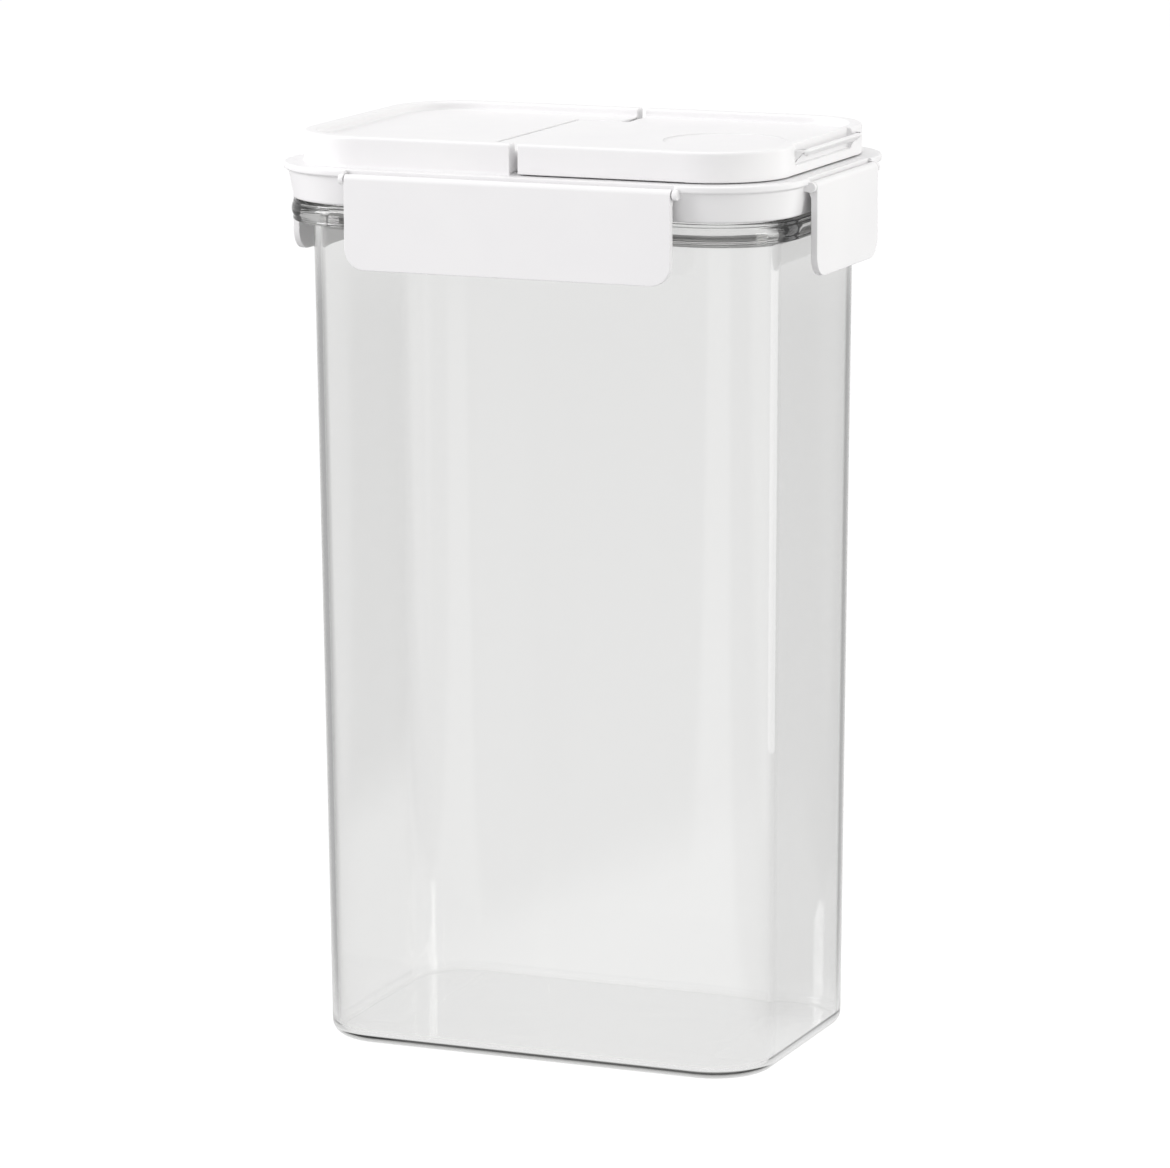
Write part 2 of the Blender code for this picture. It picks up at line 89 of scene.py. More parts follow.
def sheet(plan, height):
    """Start a bmesh with a flat round-cornered sheet."""
    length, depth, radius = plan
    bm = bmesh.new()
    bmesh.ops.create_grid(bm, x_segments=1, y_segments=1, size=0.5)
    bmesh.ops.scale(bm, vec=(length, depth, 1.0), verts=bm.verts)
    bmesh.ops.bevel(bm, geom=bm.verts[:], offset=radius, offset_type="OFFSET", affect="VERTICES",
                    segments=CORNER_SEGMENTS, profile=0.5, material=-1)
    for axis, half in ((0, length / 2), (1, depth / 2)):
        for side in (-1, 1):
            place, normal = Vector(), Vector()
            place[axis] = side * (half - radius - HOLD)
            normal[axis] = side
            everything = bm.verts[:] + bm.edges[:] + bm.faces[:]
            bmesh.ops.bisect_plane(bm, geom=everything, plane_co=place, plane_no=normal)
    bmesh.ops.translate(bm, vec=(0.0, 0.0, height), verts=bm.verts)
    return bm


def refit(verts, old, new, height):
    """Move a sheet's vertices from one plan to another, and to a new height."""
    for vert in verts:
        for axis in (0, 1):
            past_centre = abs(vert.co[axis]) - (old[axis] / 2 - old[2])
            if past_centre > 0:
                past_centre *= new[2] / old[2]
            vert.co[axis] = math.copysign(new[axis] / 2 - new[2] + past_centre, vert.co[axis])
        vert.co.z = height


def stack(steps, centre_x=0.0):
    """Extrude a sheet through a list of (plan, height) steps and return the closed bmesh."""
    plan, height = steps[0]
    bm = sheet(plan, height)
    cap = bm.faces[:]
    for new_plan, new_height in steps[1:]:
        edges = {edge for face in cap for edge in face.edges}
        made = bmesh.ops.extrude_face_region(bm, geom=cap + list(edges))["geom"]
        cap = [item for item in made if isinstance(item, bmesh.types.BMFace)]
        refit({vert for face in cap for vert in face.verts}, plan, new_plan, new_height)
        plan = new_plan
    bmesh.ops.translate(bm, vec=(centre_x, 0.0, 0.0), verts=bm.verts)
    bmesh.ops.remove_doubles(bm, verts=bm.verts, dist=MERGE)
    bmesh.ops.recalc_face_normals(bm, faces=bm.faces)
    return bm


print("a sheet has", len(sheet((0.16, 0.10, 0.02), 0.0).verts), "vertices")

# %% [markdown]
# ## From a bmesh to a finished piece
# Straight cuts leave sharp edges, and no moulded edge is sharp. A fine bevel on every edge
# sharper than 38 degrees catches the light as a real edge does. Normals weighted by face area
# keep the broad faces flat beside it.

# %% Pieces, cuts and fine edges
EDGE_ANGLE = math.radians(38)
FINE_EDGE = 0.0003
FLAT_WEIGHT = 80


def piece(name, bm):
    """Make an object from a bmesh."""
    mesh = bpy.data.meshes.new(name)
    bm.to_mesh(mesh)
    bm.free()
    thing = bpy.data.objects.new(name, mesh)
    bpy.context.scene.collection.objects.link(thing)
    return thing


def shape(target, tools, operation):
    """Cut tools from a target or fuse them on, then bake the result and drop the tools."""
    for tool in tools:
        modifier = target.modifiers.new(tool.name, "BOOLEAN")
        modifier.operation = operation
        modifier.solver = "EXACT"
        modifier.object = tool
    bpy.context.view_layer.update()
    evaluated = target.evaluated_get(bpy.context.evaluated_depsgraph_get())
    mesh = bpy.data.meshes.new_from_object(evaluated)
    bm = bmesh.new()
    bm.from_mesh(mesh)
    bmesh.ops.remove_doubles(bm, verts=bm.verts, dist=MERGE)
    bmesh.ops.dissolve_degenerate(bm, edges=bm.edges, dist=MERGE)
    bm.to_mesh(mesh)
    bm.free()
    target.modifiers.clear()
    target.data = mesh
    for tool in tools:
        bpy.data.objects.remove(tool)
    return target


def block(low, high):
    """A square block between two corners, as a tool."""
    low, high = Vector(low), Vector(high)
    bm = bmesh.new()
    matrix = Matrix.Translation((low + high) / 2) @ Matrix.Diagonal((*(high - low), 1.0))
    bmesh.ops.create_cube(bm, size=1.0, matrix=matrix)
    return piece("block", bm)


def pushed(outline, start, end):
    """Push a flat (y, z) outline along X from start to end."""
    bm = bmesh.new()
    face = bm.faces.new([bm.verts.new((start, y, z)) for y, z in outline])
    made = bmesh.ops.extrude_face_region(bm, geom=[face])["geom"]
    verts = [item for item in made if isinstance(item, bmesh.types.BMVert)]
    bmesh.ops.translate(bm, verts=verts, vec=(end - start, 0, 0))
    bmesh.ops.recalc_face_normals(bm, faces=bm.faces)
    return bm


def bar(radius, start, end, segments=32, chamfer=0.0):
    """A round bar between two points, as a tool or a pin."""
    start, end = Vector(start), Vector(end)
    turn = (end - start).to_track_quat("Z", "Y").to_matrix().to_4x4()
    bm = bmesh.new()
    bmesh.ops.create_cone(bm, cap_ends=True, segments=segments, radius1=radius, radius2=radius,
                          depth=(end - start).length)
    if chamfer:
        rims = [edge for edge in bm.edges if edge.verts[0].co.z * edge.verts[1].co.z > 0]
        bmesh.ops.bevel(bm, geom=rims, offset=chamfer, offset_type="OFFSET", affect="EDGES",
                        segments=3, profile=0.5, material=-1)
    bmesh.ops.transform(bm, matrix=Matrix.Translation((start + end) / 2) @ turn, verts=bm.verts)
    return piece("bar", bm)


def soften(thing, width=FINE_EDGE, segments=2):
    """Round the sharp edges a little and shade the piece smooth."""
    thing.data.shade_smooth()
    if width:
        bevel = thing.modifiers.new("fine_edges", "BEVEL")
        bevel.width = width
        bevel.segments = segments
        bevel.limit_method = "ANGLE"
        bevel.angle_limit = EDGE_ANGLE
        bevel.use_clamp_overlap = False
    normals = thing.modifiers.new("flat_faces", "WEIGHTED_NORMAL")
    normals.weight = FLAT_WEIGHT
    return thing


def install(thing, body, finish, *nodes):
    """Let a piece ride on a body, in place of its CAD nodes, with its finish."""
    thing.data.materials.clear()
    thing.data.materials.append(finish)
    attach(thing, body)
    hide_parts(*nodes)
    low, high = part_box(nodes[0])
    for axis in range(3):
        values = [vert.co[axis] for vert in thing.data.vertices]
        past = (1e6 * (low[axis] - min(values)), 1e6 * (max(values) - high[axis]))
        if max(past) > 1:
            print(thing.name, "is past its box along", "XYZ"[axis], "by", past, "micrometres")
    print(thing.name, "rides on", body, "with", len(thing.data.polygons), "faces before its edges")
    return thing


# %% [markdown]
# ## Finishes
# Each finish is a Principled shader with its even values typed straight into its sockets.
# What varies comes from noise on Object coordinates, so it stays with the piece when a lid
# or a latch moves. White moulded plastic is never one flat white: its gloss shifts a little
# from place to place, and a spark-eroded mould leaves a grain finer than a hair.

# %% Helpers for finishes
NOISE_LOW, NOISE_HIGH = 0.3, 0.7             # most noise values lie between these


def new_finish(name, colour, roughness, **sockets):
    """A Principled material with plain socket values. Returns the material and its nodes."""
    material = bpy.data.materials.new(name)
    material.use_nodes = True
    shader = material.node_tree.nodes["Principled BSDF"]
    shader.inputs["Base Color"].default_value = (*colour, 1.0)
    shader.inputs["Roughness"].default_value = roughness
    for socket, value in sockets.items():
        shader.inputs[socket.replace("_", " ")].default_value = value
    return material, material.node_tree, shader


def noise(tree, scale, detail=3.0, stretch=(1.0, 1.0, 1.0)):
    """Noise that rides with the piece, read from its Object coordinates."""
    place = tree.nodes.new("ShaderNodeTexCoord")
    mapping = tree.nodes.new("ShaderNodeMapping")
    mapping.inputs["Scale"].default_value = stretch
    texture = tree.nodes.new("ShaderNodeTexNoise")
    texture.inputs["Scale"].default_value = scale
    texture.inputs["Detail"].default_value = detail
    tree.links.new(place.outputs["Object"], mapping.inputs["Vector"])
    tree.links.new(mapping.outputs["Vector"], texture.inputs["Vector"])
    return texture.outputs["Fac"]


def spread(tree, source, low, high):
    """Map noise from its usual range to low and high."""
    ranger = tree.nodes.new("ShaderNodeMapRange")
    ranger.inputs["From Min"].default_value = NOISE_LOW
    ranger.inputs["From Max"].default_value = NOISE_HIGH
    ranger.inputs["To Min"].default_value = low
    ranger.inputs["To Max"].default_value = high
    tree.links.new(source, ranger.inputs["Value"])
    return ranger.outputs["Result"]


def tint(tree, source, first, second):
    """Blend two colours by noise."""
    ramp = tree.nodes.new("ShaderNodeValToRGB")
    ramp.color_ramp.elements[0].position = NOISE_LOW
    ramp.color_ramp.elements[0].color = (*first, 1.0)
    ramp.color_ramp.elements[1].position = NOISE_HIGH
    ramp.color_ramp.elements[1].color = (*second, 1.0)
    tree.links.new(source, ramp.inputs["Fac"])
    return ramp.outputs["Color"]


def grain(tree, shader, source, depth, strength=1.0):
    """Bump the surface by a real depth in metres."""
    bump = tree.nodes.new("ShaderNodeBump")
    bump.inputs["Strength"].default_value = strength
    bump.inputs["Distance"].default_value = depth
    tree.links.new(source, bump.inputs["Height"])
    tree.links.new(bump.outputs["Normal"], shader.inputs["Normal"])


# %% [markdown]
# The lid, the cap and the latches are satin white plastic. One flat colour would look like
# paper, so two close whites drift into each other, and the gloss drifts separately.

# %% The white shell
WHITE_LOW = (0.785, 0.778, 0.786)
WHITE_HIGH = (0.812, 0.806, 0.808)
PLASTIC_IOR = 1.49

satin_white, tree, shader = new_finish("satin_white", WHITE_HIGH, 0.34, IOR=PLASTIC_IOR)
tree.links.new(tint(tree, noise(tree, 22.0), WHITE_LOW, WHITE_HIGH), shader.inputs["Base Color"])
tree.links.new(spread(tree, noise(tree, 60.0, 5.0), 0.30, 0.40), shader.inputs["Roughness"])
grain(tree, shader, noise(tree, 2600.0, 2.0), 0.000012, 0.35)
print("white shell ready")

# %% [markdown]
# The inner plates are the same plastic from a rougher mould, so they are duller. The seals
# are milky silicone: soft-looking, with a dry sheen. The pins are drawn wire, whose fine
# lines run along the bar.

# %% Inner plates, seals and pins
dull_white, tree, shader = new_finish("dull_white", (0.80, 0.80, 0.79), 0.5, IOR=PLASTIC_IOR)
tree.links.new(tint(tree, noise(tree, 30.0), (0.77, 0.77, 0.765), (0.82, 0.82, 0.81)),
               shader.inputs["Base Color"])
tree.links.new(spread(tree, noise(tree, 90.0, 4.0), 0.44, 0.58), shader.inputs["Roughness"])
grain(tree, shader, noise(tree, 1900.0, 3.0), 0.00002, 0.5)

milky_silicone, tree, shader = new_finish(
    "milky_silicone", (0.72, 0.73, 0.72), 0.55, IOR=1.41, Sheen_Weight=0.25, Sheen_Roughness=0.4)
tree.links.new(tint(tree, noise(tree, 45.0), (0.69, 0.70, 0.69), (0.75, 0.76, 0.75)),
               shader.inputs["Base Color"])
grain(tree, shader, noise(tree, 1500.0, 3.0), 0.00003, 0.4)

drawn_steel, tree, shader = new_finish("drawn_steel", (0.60, 0.59, 0.58), 0.3, Metallic=1.0)
tree.links.new(spread(tree, noise(tree, 900.0, 4.0, (0.03, 0.03, 1.0)), 0.22, 0.38),
               shader.inputs["Roughness"])
print("inner plates, seals and pins ready")

# %% [markdown]
# The clear box is the hardest finish. Its wall is a real wall with an inside and an outside,
# so light bends as it does in the real moulding. The faint grey comes from absorption inside
# the plastic: two millimetres of it are almost clear, and a corner seen edge-on is dark.

# %% The clear plastic
CLEAR_TINT = (0.68, 0.68, 0.675)
CLEAR_DENSITY = 60.0
SHADE = 0.96                     # how much light each surface lets through to what it shades

clear_plastic, tree, shader = new_finish(
    "clear_plastic", (0.975, 0.975, 0.972), 0.015, IOR=1.53, Transmission_Weight=1.0)
absorb = tree.nodes.new("ShaderNodeVolumeAbsorption")
absorb.inputs["Color"].default_value = (*CLEAR_TINT, 1.0)
absorb.inputs["Density"].default_value = CLEAR_DENSITY
output = tree.nodes["Material Output"]
tree.links.new(absorb.outputs["Volume"], output.inputs["Volume"])
path = tree.nodes.new("ShaderNodeLightPath")
clear = tree.nodes.new("ShaderNodeBsdfTransparent")
clear.inputs["Color"].default_value = (SHADE, SHADE, SHADE, 1.0)
choose = tree.nodes.new("ShaderNodeMixShader")
tree.links.new(path.outputs["Is Shadow Ray"], choose.inputs["Fac"])
tree.links.new(shader.outputs["BSDF"], choose.inputs[1])
tree.links.new(clear.outputs["BSDF"], choose.inputs[2])
tree.links.new(choose.outputs["Shader"], output.inputs["Surface"])
tree.links.new(spread(tree, noise(tree, 70.0, 2.0), 0.005, 0.03), shader.inputs["Roughness"])
grain(tree, shader, noise(tree, 26.0, 1.0, (1.0, 1.0, 0.35)), 0.00004, 0.5)
print("clear plastic ready")

# %% [markdown]
# ## The clear box
# The box is injection-moulded, so its walls lean out a little towards the top to leave the
# tool. The stack starts as a small sheet on the floor, grows round the bottom edge, climbs
# the outside, runs round the bead and over the neck, and comes down the inside.

# %% Sizes of the box
BASE_PLAN = (0.1593, 0.1015, 0.0213)
LEAN = 0.0045 / 0.270            # growth in length and depth for each metre of height
WALL = 0.0020
FLOOR = 0.0030
FOOT_ROUND = 0.0045
FOOT_CUTS = (0.0065, 0.0120)     # two steps that hold the wall flat above the foot
BEAD_REACH = 0.00724
NECK_REACH = 0.0040
NECK_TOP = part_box("container_body")[1].z
BEAD_LOW, BEAD_HIGH = 0.2785, 0.2853
print("the neck ends at", round(1000 * NECK_TOP, 1), "mm")


def wall_plan(reach, height):
    """The plan of the drafted wall at a height, offset outwards by reach."""
    grow = LEAN * height
    return grown((BASE_PLAN[0] + grow, BASE_PLAN[1] + grow, BASE_PLAN[2]), reach)


def arc(centre, radius, start, end, steps):
    """Points of an arc in a wall's section, as (reach, height)."""
    angles = [math.radians(start + (end - start) * step / steps) for step in range(steps + 1)]
    return [(centre[0] + radius * math.cos(angle), centre[1] + radius * math.sin(angle))
            for angle in angles]


# %% [markdown]
# The bead is what the latches snap under. A plain half-round would do the job, but the real
# one has a small ring along its lower edge and another along its upper edge, and a gently
# swelling face between them. Each is an arc, so the section is a chain of arcs.

# %% Outside of the box's section
RING = 0.0007                    # radius of the two small rings along the bead
LOWER_SET_BACK, UPPER_SET_BACK = 0.0011, 0.0013
SWELL = 0.0045                   # radius of the bead's gently rounded face
SWELL_RISE = 0.0002
BEAD_FILLET = 0.0010             # inner corner between the wall and the bead
NECK_BEVEL = 0.0004

middle_height = (BEAD_LOW + BEAD_HIGH) / 2 + SWELL_RISE
lower_ring = arc((BEAD_REACH - LOWER_SET_BACK, BEAD_LOW + RING), RING, -90, 60, 5)
face = arc((BEAD_REACH - SWELL, middle_height), SWELL, -24, 24, 6)
upper_ring = arc((BEAD_REACH - UPPER_SET_BACK, BEAD_HIGH - RING), RING, -50, 90, 5)
section = arc((-FOOT_ROUND, FOOT_ROUND), FOOT_ROUND, -90, 0, 8)
section += [(0.0, cut) for cut in FOOT_CUTS] + [(0.0, BEAD_LOW - 0.0024)]
section += arc((BEAD_FILLET, BEAD_LOW - BEAD_FILLET), BEAD_FILLET, 180, 90, 4)[1:]
section += lower_ring + face + upper_ring
section += [(NECK_REACH + NECK_BEVEL, BEAD_HIGH), (NECK_REACH, BEAD_HIGH + NECK_BEVEL)]
section += [(NECK_REACH, NECK_TOP - 0.0020)]
section += arc((NECK_REACH - WALL / 2, NECK_TOP - WALL / 2), WALL / 2, 0, 180, 8)
print("the outside has", len(section), "steps")

# %% [markdown]
# The inside follows two millimetres in from the outside. The neck stands farther out than the wall below it,
# so there is a ledge level with the top of the bead, with a rounded corner each way.

# %% Inside of the box's section
LEDGE = BEAD_HIGH - 0.0004       # inside, the neck steps out over the bead
LEDGE_FILLET, LEDGE_ROUND = 0.0012, 0.0008
INNER_CUTS = (0.0120, 0.0075)

neck_inside = NECK_REACH - WALL
section += [(neck_inside, LEDGE + 0.0022)]
section += arc((neck_inside - LEDGE_FILLET, LEDGE + LEDGE_FILLET), LEDGE_FILLET, 0, -90, 4)
section += arc((-WALL + LEDGE_ROUND, LEDGE - LEDGE_ROUND), LEDGE_ROUND, 90, 180, 4)
section += [(-WALL, LEDGE - 0.0024)]
inner_round = FOOT_ROUND - WALL
section += [(-WALL, cut) for cut in INNER_CUTS]
section += arc((-WALL - inner_round, FLOOR + inner_round), inner_round, 0, -90, 7)
print("the box's section has", len(section), "steps")

# %% [markdown]
# Now the section is climbed. Each of its points is a reach from the drafted wall and a
# height, so one pass of the stack makes the outside, the rim, the inside and the floor. The
# box gets no fine bevel, because its section already holds every round.

# %% The box
box_mesh = stack([(wall_plan(reach, height), height) for reach, height in section])
clear_box = soften(piece("clear_box", box_mesh), width=0.0)
install(clear_box, "container", clear_plastic, "container_body")

# %% [markdown]
# ## The lid frame
# One white moulding carries everything: the skirt that drops over the neck, the lip, the
# flat deck, and the left half of the raised top. It could be cut from one block, but each
# part is easier to read as its own stack, fused afterwards as they are in the mould.

# %% Sizes of the lid
SKIRT_BOTTOM, SKIRT_BOTTOM_PLAN = 0.2860, (0.1764, 0.1198, 0.0274)
SKIRT_TOP, SKIRT_TOP_PLAN = 0.2956, (0.1790, 0.1236, 0.0286)
LIP_PLAN = (0.1818, 0.1270, 0.0300)
LIP_BOTTOM = 0.2962
DECK_TOP, DECK_UNDER = 0.2980, 0.2960
LID_WALL = 0.0018
TIER_PLAN = (0.1698, 0.1143, 0.0256)
TIER_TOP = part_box("flip_cap")[1].z
PAN_FLOOR, PAN_UNDER = 0.3055, 0.3037
RIM_WIDTH = 0.0047
SPLIT_LEFT, SPLIT_RIGHT = -0.0021, 0.0007
TONGUE_END, TONGUE_HALF, TONGUE_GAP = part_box("flip_cap")[0].x, 0.0365, 0.0014
cap_joint = next(joint for joint in frame["joints"] if joint["name"] == "cap_flip")
CAP_AXIS = Vector(cap_joint["pos_m"])
WELL_RIGHT, WELL_BOTTOM = -0.0040, 0.2940
UNDER_ALL, OVER_ALL = 0.28, 0.32             # heights below and above the whole lid
OVER_SPOUT, UNDER_TOP = 0.31, 0.290
print("the cap turns about", [round(1000 * part, 2) for part in CAP_AXIS], "mm")

# %% [markdown]
# The skirt leans out towards its top, and a round lip runs along it. The stack climbs from
# inside the skirt, round its lower edge, up the outside and over the lip onto the deck.

# %% Skirt, lip and deck
ROUND = 0.0007                   # radius of the lip's edges
SKIRT_EDGE = 0.0004

skirt_inner_top = grown(SKIRT_TOP_PLAN, -LID_WALL)
skirt_inner_bottom = grown(SKIRT_BOTTOM_PLAN, -LID_WALL)
shell_steps = [
    (skirt_inner_top, DECK_UNDER), (skirt_inner_bottom, SKIRT_BOTTOM + SKIRT_EDGE),
    (grown(skirt_inner_bottom, 0.0003), SKIRT_BOTTOM),
    (grown(SKIRT_BOTTOM_PLAN, -SKIRT_EDGE), SKIRT_BOTTOM),
    (grown(SKIRT_BOTTOM_PLAN, -0.0001), SKIRT_BOTTOM + 0.0002),
    (SKIRT_BOTTOM_PLAN, SKIRT_BOTTOM + 0.0006), (SKIRT_TOP_PLAN, SKIRT_TOP - 0.0006),
    (grown(SKIRT_TOP_PLAN, 0.0002), SKIRT_TOP - 0.0001),
    (grown(LIP_PLAN, -ROUND), LIP_BOTTOM - 0.0005),
]
shell_steps += [(grown(LIP_PLAN, reach - ROUND), height)
                for reach, height in arc((0.0, LIP_BOTTOM + 0.0002), ROUND, -90, 0, 4)]
shell_steps += [(grown(LIP_PLAN, reach - ROUND), height)
                for reach, height in arc((0.0, DECK_TOP - ROUND), ROUND, 0, 90, 4)]
shell_steps += [(grown(LIP_PLAN, -0.0030), DECK_TOP)]
lid_shell = piece("lid_shell", stack(shell_steps))
print("skirt, lip and deck have", len(lid_shell.data.polygons), "faces")


# %% [markdown]
# The raised top is one shape cut in two by the split line. Its rim is rounded outside and
# inside, and its pan is sunk by the thickness of the rim. Both halves start from this stack,
# so that they line up exactly when the cap is shut.

# %% The raised top
RIM_ROUND = 0.0010
PAN_FILLET = 0.0009
BASE_BEVEL = 0.0003              # lower edge of the raised top where it has no fillet
CUT_ROUND = 0.0008               # round edge over the hollow under the raised top


def raised_top(low, foot):
    """The whole raised top from a low height up, with a fillet of size foot at its base."""
    steps = []
    if foot:
        steps += [(grown(TIER_PLAN, foot - reach), low + foot - rise)
                  for reach, rise in arc((0.0, 0.0), foot, 90, 0, 4)]
    else:
        steps += [(grown(TIER_PLAN, -BASE_BEVEL), low), (TIER_PLAN, low + BASE_BEVEL)]
    steps += [(TIER_PLAN, low + 0.0016), (TIER_PLAN, TIER_TOP - 0.0020)]
    steps += [(grown(TIER_PLAN, reach - RIM_ROUND), height)
              for reach, height in arc((0.0, TIER_TOP - RIM_ROUND), RIM_ROUND, 0, 90, 5)]
    inner = grown(TIER_PLAN, -RIM_WIDTH)
    steps += [(grown(inner, RIM_ROUND - reach), height)
              for reach, height in arc((0.0, TIER_TOP - RIM_ROUND), RIM_ROUND, 90, 0, 5)]
    steps += [(grown(inner, reach - PAN_FILLET), height)
              for reach, height in arc((0.0, PAN_FLOOR + PAN_FILLET), PAN_FILLET, 0, -90, 4)]
    steps += [(grown(inner, -0.0040), PAN_FLOOR)]
    return stack(steps)


def keep_side(bm, x, side):
    """Cut a closed bmesh at x, keep the part on one side, and close the cut."""
    everything = bm.verts[:] + bm.edges[:] + bm.faces[:]
    bmesh.ops.bisect_plane(bm, geom=everything, plane_co=(x, 0, 0), plane_no=(-side, 0, 0),
                           clear_outer=True)
    bmesh.ops.remove_doubles(bm, verts=bm.verts, dist=MERGE)
    rim = [edge for edge in bm.edges if edge.is_boundary]
    bmesh.ops.holes_fill(bm, edges=rim, sides=0)
    bmesh.ops.recalc_face_normals(bm, faces=bm.faces)
    return bm


def inner_hollow(x, side, low):
    """The room under half of the raised top, as a tool."""
    plan = grown(TIER_PLAN, -LID_WALL)
    steps = [(plan, low), (plan, PAN_UNDER - CUT_ROUND), (grown(plan, -CUT_ROUND), PAN_UNDER)]
    return piece("hollow", keep_side(stack(steps), x, side))


def straight(plan, low, high, centre_x=0.0):
    """A straight block on a round-cornered plan, as a tool."""
    return piece("straight", stack([(plan, low), (plan, high)], centre_x))


# %% [markdown]
# The hinge well is a box let into the fixed half. Its two cheeks hold the cap's pin, and it
# has to be deep enough for the tongue's far edge to swing through.

# %% Fixed half and hinge well
SPOUT_PLAN, SPOUT_CENTRE, SPOUT_WALL = (0.0600, 0.0800, 0.0160), 0.0460, 0.0016
GAP = 0.0003                     # between pieces that must not touch
TOP_SINK, TOP_FILLET = 0.0004, 0.0013
cheek = TONGUE_HALF + TONGUE_GAP
well_left = TONGUE_END - TONGUE_GAP
pin_radius = (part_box("flip_cap_pin")[1].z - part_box("flip_cap_pin")[0].z) / 2

fixed_half = piece("fixed_half", keep_side(raised_top(DECK_TOP - TOP_SINK, TOP_FILLET), SPLIT_LEFT, -1))
well_block = block((well_left - LID_WALL, -cheek - LID_WALL, WELL_BOTTOM),
                   (WELL_RIGHT + LID_WALL, cheek + LID_WALL, DECK_TOP - 0.0003))
cheek_block = block((well_left - LID_WALL, -cheek - LID_WALL, WELL_BOTTOM + 0.0001),
                    (SPLIT_LEFT - 0.0001, cheek + LID_WALL, PAN_FLOOR - 0.0004))
shape(lid_shell, [fixed_half], "UNION")
shape(lid_shell, [inner_hollow(SPLIT_LEFT - LID_WALL, -1, UNDER_TOP)], "DIFFERENCE")
shape(lid_shell, [cheek_block, well_block], "UNION")
print("with the hinge well the lid has", len(lid_shell.data.polygons), "faces")

# %% [markdown]
# All openings are cut in one step: the well's room, the way in for the tongue, the hole for
# the spout, and the bore for the cap's pin, which runs through both cheeks.

# %% Openings in the lid
CHEEK_BORE = 0.004               # how far the bore runs past each cheek's inner face
TONGUE_WAY = 0.02                # the way in for the tongue ends this far to the right

shape(lid_shell, [
    block((well_left, -cheek, UNDER_ALL), (WELL_RIGHT, cheek, OVER_ALL)),
    block((WELL_RIGHT - 0.001, -cheek, DECK_TOP), (TONGUE_WAY, cheek, OVER_ALL)),
    straight(grown(SPOUT_PLAN, SPOUT_WALL + GAP), UNDER_ALL, OVER_SPOUT, SPOUT_CENTRE),
    bar(pin_radius + GAP, CAP_AXIS - Vector((0, cheek + CHEEK_BORE, 0)),
        CAP_AXIS + Vector((0, cheek + CHEEK_BORE, 0))),
], "DIFFERENCE")
print("lid frame has", len(lid_shell.data.polygons), "faces")

# %% [markdown]
# ## Ears for the latches
# Each latch turns between two ears on the lip. They are small rounded lugs with a web down
# to the skirt. The lip is notched between them, so that the latch's rolled edge can turn.

# %% Where the latches sit
BARREL = 0.00175                 # radius of the rolled edge and of the ears
BORE = 0.0011                    # radius of the bores for the latches' pins
EAR_WIDTH = 0.0018
SLIP = 0.0001                    # tools are this much apart, so that no two faces coincide
SIDES = {"front": 0, "right": 90, "back": 180, "left": 270}


def latch_place(side):
    """(half width, place matrix) of a latch: origin on its pin, outwards along -Y."""
    joint = next(joint for joint in frame["joints"] if joint["name"] == f"{side}_latch_hinge")
    low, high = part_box(f"latch_{side}")
    along = 0 if side in ("front", "back") else 1
    half = (high[along] - low[along]) / 2
    turn = Matrix.Rotation(math.radians(SIDES[side]), 4, "Z")
    return half, Matrix.Translation(Vector(joint["pos_m"])) @ turn


def pin_half(side):
    """Half the length of a latch's pin."""
    low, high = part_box(f"latch_pin_{side}")
    return max(high.x - low.x, high.y - low.y) / 2


def placed(tool, matrix):
    """Move a tool's mesh to a latch's place."""
    tool.data.transform(matrix)
    return tool


for side in SIDES:
    print(side, "latch is", round(2000 * latch_place(side)[0], 1), "mm wide")

# %% [markdown]
# An ear is half a round with a web behind it, pushed along the pin. The bore stops inside
# each ear, so the outside of an ear is closed and the pin cannot slip out.

# %% Ears and notches
WEB_DROP = 0.0023                # the web reaches this far below the lip
WEB_SINK = 0.0010                # and ends this far below the deck
NOTCH_DEPTH = 0.02


def ears_of(side):
    """Tools for one latch: what is added to the lid and what is cut from it."""
    half, matrix = latch_place(side)
    across = 1 if side in ("front", "back") else 0
    inward = abs(matrix.translation[across]) - SKIRT_TOP_PLAN[across] / 2 + LID_WALL / 2
    low = LIP_BOTTOM - WEB_DROP - matrix.translation.z
    high = DECK_TOP - WEB_SINK - matrix.translation.z
    inner, outer = half + GAP, half + GAP + EAR_WIDTH
    outline = arc((0.0, 0.0), BARREL, 90, 270, 12) + [(inward, low), (inward, high)]
    added = []
    for sign in (-1, 1):
        first, last = sorted((sign * inner, sign * outer))
        added.append(placed(piece("ear", pushed(outline, first, last)), matrix))
    notch = placed(block((-inner - SLIP, -NOTCH_DEPTH, low),
                         (inner + SLIP, BARREL + GAP, NOTCH_DEPTH)), matrix)
    blind = pin_half(side) + GAP
    bore = placed(bar(BORE, (-blind, 0, 0), (blind, 0, 0), 20), matrix)
    return added, notch, bore


for side in SIDES:
    added, notch, bore = ears_of(side)
    shape(lid_shell, [notch], "DIFFERENCE")
    shape(lid_shell, added, "UNION")
    shape(lid_shell, [bore], "DIFFERENCE")
install(soften(lid_shell), "lid", satin_white, "lid_frame")

# %% [markdown]
# ## The pour cap
# The cap is the other half of the raised top, cut free. Its tongue reaches back over the
# fixed half and hangs on the pin by two barrels. At the free end a lip flares out for a
# finger, with a slot behind it, and a shallow round dish marks where a thumb presses.

# %% Sizes of the cap
CAP_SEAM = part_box("flip_cap")[0].z
KNUCKLE, KNUCKLE_FROM = 0.0030, 0.0220
DISH_CENTRE, DISH_RADIUS, DISH_DEPTH = 0.0500, 0.0200, 0.0004
PULL_HALF, PULL_TOP, PULL_TIP = 0.0275, 0.3067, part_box("flip_cap")[1].x
print("the cap's seam is at", round(1000 * CAP_SEAM, 1), "mm")

